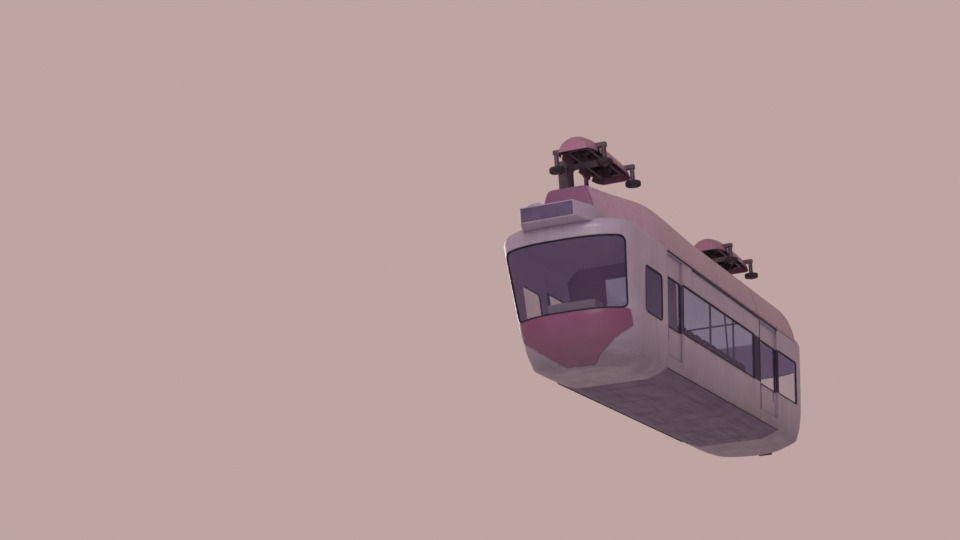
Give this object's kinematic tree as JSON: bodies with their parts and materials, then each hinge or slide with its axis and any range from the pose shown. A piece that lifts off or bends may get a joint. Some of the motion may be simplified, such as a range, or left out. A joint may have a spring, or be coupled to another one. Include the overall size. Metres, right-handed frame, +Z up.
{
  "type": "suspended monorail car",
  "caption": "Lead car of a suspended monorail: rounded glazed nose with red panel, sliding doors, roof fairing, and bogies with rubber wheels that ride on top of a box beam.",
  "frame": {"origin": "on the running surface of the box beam, on the car's centreline, midway between the bogie pivots", "axes": "+X towards the nose, +Y to the car's left, +Z up"},
  "size_m": [13.42, 2.512, 4.5129],
  "materials": {
    "body_paint": "off-white gloss paint on moulded and sheet panels, a faint mauve cast",
    "fairing_paint": "dusty pink paint, slightly chalky",
    "cover_paint": "faded pink-red paint",
    "nose_red": "deep red gloss paint",
    "underside_paint": "dark grey underside paint",
    "glazing": "tinted safety glass",
    "steel": "dark primed steel",
    "tyre_rubber": "black rubber",
    "seat_cover": "dark maroon seat cover",
    "lining": "grey-green laminate",
    "sign_panel": "blank dark blue-violet panel"
  },
  "bodies": {
    "car_body": {"belly_pan": "underside_paint", "bench_left": "lining", "bench_right": "lining", "cab_window_left": "glazing", "cab_window_right": "glazing", "coupler": "steel", "cushion_left": "seat_cover", "cushion_right": "seat_cover", "desk": "lining", "driver_seat": "seat_cover", "fairing_front": "fairing_paint", "fairing_rear": "fairing_paint", "grab_frame": "steel", "nose_panel": "nose_red", "nose_shell": "body_paint", "partition": "lining", "pod_panel": "sign_panel", "rear_window": "glazing", "roof": "body_paint", "roof_spine": "steel", "side_left": "body_paint", "side_right": "body_paint", "side_window_left": "glazing", "side_window_right": "glazing", "sign_pod": "body_paint", "tail_shell": "body_paint", "tail_window_left": "glazing", "tail_window_right": "glazing", "underframe": "underside_paint", "windshield": "glazing"},
    "wheelset_front_1": {"axle_front_1": "steel", "tyre_front_1": "tyre_rubber"},
    "wheelset_front_2": {"axle_front_2": "steel", "tyre_front_2": "tyre_rubber"},
    "wheelset_rear_1": {"axle_rear_1": "steel", "tyre_rear_1": "tyre_rubber"},
    "wheelset_rear_2": {"axle_rear_2": "steel", "tyre_rear_2": "tyre_rubber"},
    "bogie_front": {"bogie_front_cover": "cover_paint", "bogie_front_frame": "steel"},
    "bogie_rear": {"bogie_rear_cover": "cover_paint", "bogie_rear_frame": "steel"},
    "door_front_left": {"door_front_left": "body_paint", "door_glass_front_left": "glazing"},
    "door_front_right": {"door_front_right": "body_paint", "door_glass_front_right": "glazing"},
    "door_rear_left": {"door_glass_rear_left": "glazing", "door_rear_left": "body_paint"},
    "door_rear_right": {"door_glass_rear_right": "glazing", "door_rear_right": "body_paint"},
    "guide_front_1": {"guide_wheel_front_1": "tyre_rubber"},
    "guide_front_2": {"guide_wheel_front_2": "tyre_rubber"},
    "guide_front_3": {"guide_wheel_front_3": "tyre_rubber"},
    "guide_front_4": {"guide_wheel_front_4": "tyre_rubber"},
    "guide_rear_1": {"guide_wheel_rear_1": "tyre_rubber"},
    "guide_rear_2": {"guide_wheel_rear_2": "tyre_rubber"},
    "guide_rear_3": {"guide_wheel_rear_3": "tyre_rubber"},
    "guide_rear_4": {"guide_wheel_rear_4": "tyre_rubber"}
  },
  "joints": [
    {"name": "bogie_front_swivel", "type": "hinge", "parent": "car_body", "child": "bogie_front", "pos_m": [4.1, 0, -1.21], "axis": [0, 0, 1], "range_deg": [-8, 8]},
    {"name": "wheelset_front_1_spin", "type": "hinge", "parent": "bogie_front", "child": "wheelset_front_1", "pos_m": [4.72, 0, 0.175], "axis": [0, 1, 0], "continuous": true},
    {"name": "wheelset_front_2_spin", "type": "hinge", "parent": "bogie_front", "child": "wheelset_front_2", "pos_m": [3.48, 0, 0.175], "axis": [0, 1, 0], "continuous": true},
    {"name": "guide_front_1_spin", "type": "hinge", "parent": "bogie_front", "child": "guide_front_1", "pos_m": [4.9, 0.47, -0.15], "axis": [0, 0, 1], "continuous": true},
    {"name": "guide_front_2_spin", "type": "hinge", "parent": "bogie_front", "child": "guide_front_2", "pos_m": [4.9, -0.47, -0.15], "axis": [0, 0, 1], "continuous": true},
    {"name": "guide_front_3_spin", "type": "hinge", "parent": "bogie_front", "child": "guide_front_3", "pos_m": [3.3, 0.47, -0.15], "axis": [0, 0, 1], "continuous": true},
    {"name": "guide_front_4_spin", "type": "hinge", "parent": "bogie_front", "child": "guide_front_4", "pos_m": [3.3, -0.47, -0.15], "axis": [0, 0, 1], "continuous": true},
    {"name": "bogie_rear_swivel", "type": "hinge", "parent": "car_body", "child": "bogie_rear", "pos_m": [-4.1, 0, -1.21], "axis": [0, 0, 1], "range_deg": [-8, 8]},
    {"name": "wheelset_rear_1_spin", "type": "hinge", "parent": "bogie_rear", "child": "wheelset_rear_1", "pos_m": [-3.48, 0, 0.175], "axis": [0, 1, 0], "continuous": true},
    {"name": "wheelset_rear_2_spin", "type": "hinge", "parent": "bogie_rear", "child": "wheelset_rear_2", "pos_m": [-4.72, 0, 0.175], "axis": [0, 1, 0], "continuous": true},
    {"name": "guide_rear_1_spin", "type": "hinge", "parent": "bogie_rear", "child": "guide_rear_1", "pos_m": [-3.3, 0.47, -0.15], "axis": [0, 0, 1], "continuous": true},
    {"name": "guide_rear_2_spin", "type": "hinge", "parent": "bogie_rear", "child": "guide_rear_2", "pos_m": [-3.3, -0.47, -0.15], "axis": [0, 0, 1], "continuous": true},
    {"name": "guide_rear_3_spin", "type": "hinge", "parent": "bogie_rear", "child": "guide_rear_3", "pos_m": [-4.9, 0.47, -0.15], "axis": [0, 0, 1], "continuous": true},
    {"name": "guide_rear_4_spin", "type": "hinge", "parent": "bogie_rear", "child": "guide_rear_4", "pos_m": [-4.9, -0.47, -0.15], "axis": [0, 0, 1], "continuous": true},
    {"name": "door_front_left_slide", "type": "slide", "parent": "car_body", "child": "door_front_left", "axis": [-1, 0, 0], "range_m": [0, 0.88]},
    {"name": "door_front_right_slide", "type": "slide", "parent": "car_body", "child": "door_front_right", "axis": [-1, 0, 0], "range_m": [0, 0.88]},
    {"name": "door_rear_left_slide", "type": "slide", "parent": "car_body", "child": "door_rear_left", "axis": [1, 0, 0], "range_m": [0, 1.3]},
    {"name": "door_rear_right_slide", "type": "slide", "parent": "car_body", "child": "door_rear_right", "axis": [1, 0, 0], "range_m": [0, 1.3]}
  ]
}
